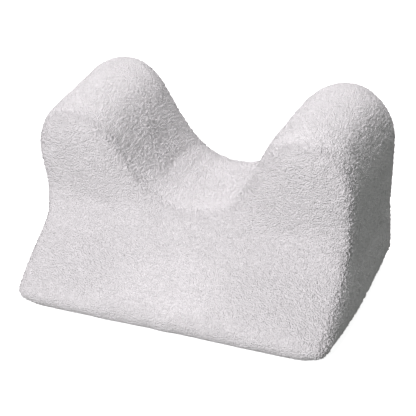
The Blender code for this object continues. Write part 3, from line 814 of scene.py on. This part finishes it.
def woven(name, dark, light, pitch, roughness, sheen=0.1):
    """Plain weave with threads a pitch apart, along X and up."""
    look = Look(name, roughness)
    grid = look.stretched((1.0, 0.35, 1.0))
    inputs = {"Vector": grid, "Scale": WAVE_SCALE / pitch, "Distortion": 0.4, "Detail Scale": 2.0}
    over = [look.add("TexWave", inputs, bands_direction=way).outputs["Fac"] for way in ("X", "Z")]
    weave = look.maths("MULTIPLY", *over)
    threads_tone = look.spread(weave, 0.0, 0.7, 0.1, 0.8)
    patches = look.spread(look.noise(60), 0.3, 0.7, 0, 0.2)
    look.tint(look.maths("ADD", threads_tone, patches), dark, light)
    look.bump(weave, pitch * 0.25)
    look.rough(look.noise(900), roughness - 0.1, roughness + 0.1)
    look.shader.inputs["Sheen Weight"].default_value = sheen
    return look.material


def moulded(name, dark, light, roughness):
    """Plastic with faint mould grain."""
    look = Look(name, roughness)
    look.tint(look.noise(300), dark, light)
    look.bump(look.noise(2500, 3.0), 0.00006)
    look.rough(look.noise(800), roughness - 0.08, roughness + 0.1)
    return look.material


def plated(name, dark, light, roughness):
    """Nickel plate with fine rubbing marks along the zip and dull specks."""
    look = Look(name, roughness, 1.0)
    marks = look.noise(1400, 4.0, look.stretched((0.12, 1.0, 1.0)))
    look.tint(marks, dark, light)
    look.rough(marks, roughness - 0.1, roughness + 0.2)
    look.bump(marks, 0.00004)
    return look.material


def open_cell(name, dark, light):
    """Foam with fine open cells."""
    look = Look(name, 0.95)
    cell = look.cells(700)
    look.tint(look.spread(cell, 0.0, 0.6, 0.0, 1.0), dark, light)
    look.bump(cell, 0.0008)
    return look.material


def spun(name, dark, light, roughness):
    """Two-ply thread: fine slanting strands."""
    look = Look(name, roughness)
    strand = look.add("TexWave", {"Vector": look.place, "Scale": 420.0, "Distortion": 1.5},
                      bands_direction="DIAGONAL").outputs["Fac"]
    look.tint(strand, dark, light)
    look.bump(strand, 0.0002)
    look.rough(look.noise(1500), roughness - 0.1, roughness + 0.1)
    look.shader.inputs["Sheen Weight"].default_value = 0.2
    return look.material


def dress_zip(tape, teeth, metal):
    """Better materials on the zip's own CAD parts."""
    for name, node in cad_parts.items():
        if not name.startswith("zip_") or "stitch" in name:
            continue
        material = tape if "tape" in name else teeth if "teeth" in name else metal
        node.data.materials.clear()
        node.data.materials.append(material)


# ---- studio ---------------------------------------------------------------------------------------
def build_studio():
    """A pale floor that curves up far off all round, and sends no light back onto the pillow."""
    far, rise = 3.0, 1.5
    curve = [(far * step / 6, 0.0) for step in range(7)]
    curve += [(far + rise * math.sin(turn), rise * (1 - math.cos(turn)))
              for turn in np.linspace(0, math.pi / 2, 13)[1:]]
    curve.append((far + rise, 4.0))
    floor = bmesh.new()
    points = [floor.verts.new((distance, 0, height)) for distance, height in curve]
    lines = [floor.edges.new(pair) for pair in zip(points, points[1:])]
    bmesh.ops.spin(floor, geom=points + lines, axis=(0, 0, 1), cent=(0, 0, 0), steps=96, angle=2 * math.pi)
    bmesh.ops.remove_doubles(floor, verts=floor.verts, dist=0.0001)
    bmesh.ops.translate(floor, verts=floor.verts, vec=(0, 0, -0.0002))
    mesh = bpy.data.meshes.new("studio_floor")
    floor.to_mesh(mesh)
    floor.free()
    mesh.shade_smooth()
    thing = bpy.data.objects.new("studio_floor", mesh)
    bpy.context.scene.collection.objects.link(thing)
    look = Look("paper", 0.9)
    look.tint(look.noise(3), (0.80, 0.80, 0.80), (0.83, 0.83, 0.83))
    look.shader.inputs["Emission Color"].default_value = (1, 1, 1, 1)
    look.shader.inputs["Emission Strength"].default_value = 0.8
    look.shader.inputs["Specular IOR Level"].default_value = 0.1
    mesh.materials.append(look.material)
    thing.visible_diffuse = False
    thing.visible_glossy = False
    thing.visible_shadow = False


def add_light(name, direction, distance, size, power, colour=(1, 1, 1)):
    """A square soft light that faces the pillow."""
    light = bpy.data.lights.new(name, "AREA")
    light.size = size
    light.energy = power
    light.color = colour
    lamp = bpy.data.objects.new(name, light)
    way = Vector(direction).normalized()
    lamp.location = Vector((0, 0, 0.09)) + way * distance
    lamp.rotation_euler = way.to_track_quat("Z", "Y").to_euler()
    bpy.context.scene.collection.objects.link(lamp)


def light_studio():
    """Even pale surroundings, a large soft key from the front, and softer lights above and behind."""
    world = bpy.data.worlds.new("studio")
    world.use_nodes = True
    world.node_tree.nodes["Background"].inputs["Color"].default_value = (0.97, 1.0, 0.965, 1.0)
    world.node_tree.nodes["Background"].inputs["Strength"].default_value = 0.33
    bpy.context.scene.world = world
    warm = (1.0, 0.955, 0.985)
    add_light("key", (-0.1, -0.82, 0.56), 1.8, 0.7, 31.5, warm)
    add_light("over", (0.0, 0.62, 0.78), 1.8, 0.7, 21, warm)
    add_light("rear", (-0.5, 1.0, 0.25), 2.0, 1.0, 6)
    bpy.context.scene.view_settings.view_transform = "Standard"


def add_camera(azimuth, elevation, roll, stand, lens):
    """A camera at a place, turned by its angles in degrees."""
    data = bpy.data.cameras.new("camera")
    data.lens = lens
    data.sensor_width = 36
    camera = bpy.data.objects.new("camera", data)
    around = Matrix.Rotation(math.radians(azimuth), 4, "Z")
    tilt = Matrix.Rotation(math.radians(90 - elevation), 4, "X")
    lean = Matrix.Rotation(math.radians(roll), 4, "Z")
    camera.matrix_world = Matrix.Translation(stand) @ around @ tilt @ lean
    bpy.context.scene.collection.objects.link(camera)
    bpy.context.scene.camera = camera


# ---- the whole scene ------------------------------------------------------------------------------
terry = terry_cloth("terry_loops", (0.68, 0.665, 0.675), (0.93, 0.915, 0.93))
base_terry = terry_cloth("terry_base_loops", (0.62, 0.61, 0.62), (0.86, 0.85, 0.86))
foam = open_cell("foam_cells", (0.70, 0.68, 0.61), (0.92, 0.91, 0.86))
jersey = woven("liner_knit", (0.70, 0.70, 0.69), (0.90, 0.90, 0.89), 0.0009, 0.85)
cotton = spun("cotton_thread", (0.70, 0.70, 0.70), (0.90, 0.90, 0.90), 0.6)
satin = woven("label_weave", (0.78, 0.78, 0.77), (0.93, 0.93, 0.92), 0.0005, 0.45)

add_camera(AZIMUTH, ELEVATION, ROLL, CAMERA_PLACE, LENS)
build_studio()
light_studio()
build_cover()
build_inside()
build_seams()
build_zip_stitches()
build_label()
dress_zip(woven("zip_weave", (0.66, 0.66, 0.67), (0.86, 0.86, 0.87), 0.0007, 0.75),
          moulded("tooth_plastic", (0.80, 0.80, 0.81), (0.88, 0.88, 0.89), 0.38),
          plated("nickel_plate", (0.52, 0.52, 0.54), (0.76, 0.76, 0.78), 0.28))
